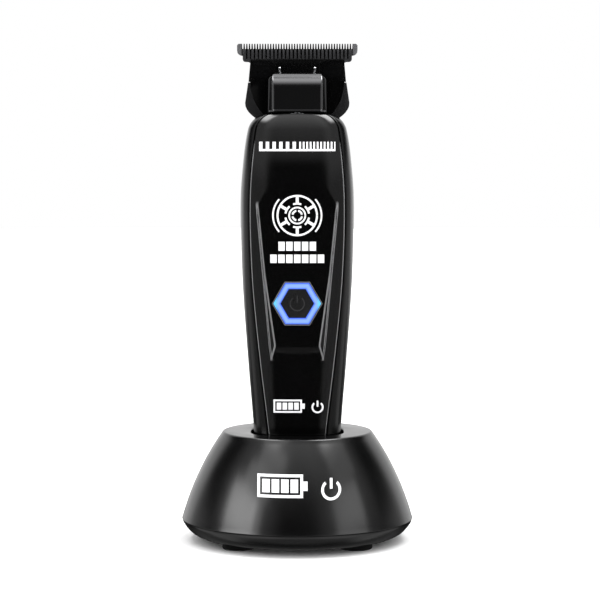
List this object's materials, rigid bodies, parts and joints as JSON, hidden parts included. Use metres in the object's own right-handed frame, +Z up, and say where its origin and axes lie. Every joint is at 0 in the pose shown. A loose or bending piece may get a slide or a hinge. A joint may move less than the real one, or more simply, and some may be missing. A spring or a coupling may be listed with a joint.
{
  "type": "cordless hair clipper in charging base",
  "caption": "T-blade hair clipper with a hexagonal power button, standing upright in a round weighted charging base.",
  "frame": {"origin": "on the floor, at the centre of the round charging base", "axes": "+Z up along the handle; the power button faces -Y; the comb blade is wide along X"},
  "size_m": [0.081, 0.081, 0.1737],
  "materials": {
    "gloss_black": "piano black",
    "satin_black": "satin black",
    "matte_black": "fine matte black",
    "rubber_black": "matte rubber",
    "black_metal": "black painted casting",
    "black_steel": "black coated blade steel",
    "steel": "plain",
    "spring_steel": "polished",
    "contact_gold": "gold plated",
    "copper_winding": "enamelled copper",
    "light_blue": "lit blue light guide",
    "circuit_board": "green solder mask",
    "print_white": "pad-printed ink, on the visual model only",
    "cell_wrap": "blue wrap over a metal can"
  },
  "bodies": {
    "charging_base": {"base_shell": "satin_black", "base_tray": "matte_black", "cradle_cup": "matte_black", "ballast_ring": "steel", "charging_board": "circuit_board", "board_screw_1": "steel", "board_screw_2": "steel", "contact_block": "matte_black", "pin_spring_left": "spring_steel", "pin_spring_right": "spring_steel", "base_inlet": "steel", "foot_1": "rubber_black", "foot_2": "rubber_black", "foot_3": "rubber_black", "foot_4": "rubber_black", "base_screw_1": "steel", "base_screw_2": "steel", "base_screw_3": "steel", "base_screw_4": "steel"},
    "trimmer": {"front_cover": "gloss_black", "rear_housing": "satin_black", "end_cap": "matte_black", "housing_screw_lower_left": "steel", "housing_screw_lower_right": "steel", "housing_screw_upper_left": "steel", "housing_screw_upper_right": "steel", "charge_pad_left": "contact_gold", "charge_pad_right": "contact_gold", "charge_jack": "steel", "button_bezel": "black_metal", "led_ring": "light_blue", "control_board": "circuit_board", "tact_switch": "matte_black", "inner_frame": "matte_black", "battery_cell": "cell_wrap", "battery_tab_top": "spring_steel", "battery_tab_bottom": "spring_steel", "motor_case": "steel", "stator": "copper_winding", "motor_front_cap": "steel", "motor_rear_cap": "steel", "front_bearing": "spring_steel", "rear_bearing": "spring_steel", "motor_mount": "black_metal", "motor_screw_left": "steel", "motor_screw_right": "steel", "blade_holder": "black_metal", "fixed_blade": "black_steel", "blade_screw_left": "black_steel", "blade_screw_right": "black_steel", "drive_cover": "gloss_black"},
    "button": {"power_button": "gloss_black"},
    "motor_rotor": {"rotor": "black_steel", "eccentric_cam": "spring_steel"},
    "cutter": {"moving_cutter": "black_steel", "cutter_guide": "matte_black", "tension_spring": "spring_steel"},
    "pin_left": {"contact_pin_left": "contact_gold"},
    "pin_right": {"contact_pin_right": "contact_gold"}
  },
  "joints": [
    {"name": "trimmer_lift", "type": "slide", "parent": "charging_base", "child": "trimmer", "axis": [0, 0, 1], "range_m": [0, 0.04]},
    {"name": "button_press", "type": "slide", "parent": "trimmer", "child": "button", "axis": [0, 1, 0], "range_m": [0, 0.0006], "stiffness_N_per_m": 2000},
    {"name": "rotor_spin", "type": "hinge", "parent": "trimmer", "child": "motor_rotor", "pos_m": [0, 0.002, 0.12], "axis": [0, 0, 1], "continuous": true},
    {"name": "cutter_slide", "type": "slide", "parent": "trimmer", "child": "cutter", "axis": [1, 0, 0], "range_m": [-0.001, 0.001]},
    {"name": "pin_left_press", "type": "slide", "parent": "charging_base", "child": "pin_left", "axis": [0, 0, 1], "range_m": [-0.0004, 0], "stiffness_N_per_m": 400, "deforming": ["pin_spring_left"]},
    {"name": "pin_right_press", "type": "slide", "parent": "charging_base", "child": "pin_right", "axis": [0, 0, 1], "range_m": [-0.0004, 0], "stiffness_N_per_m": 400, "deforming": ["pin_spring_right"]}
  ]
}
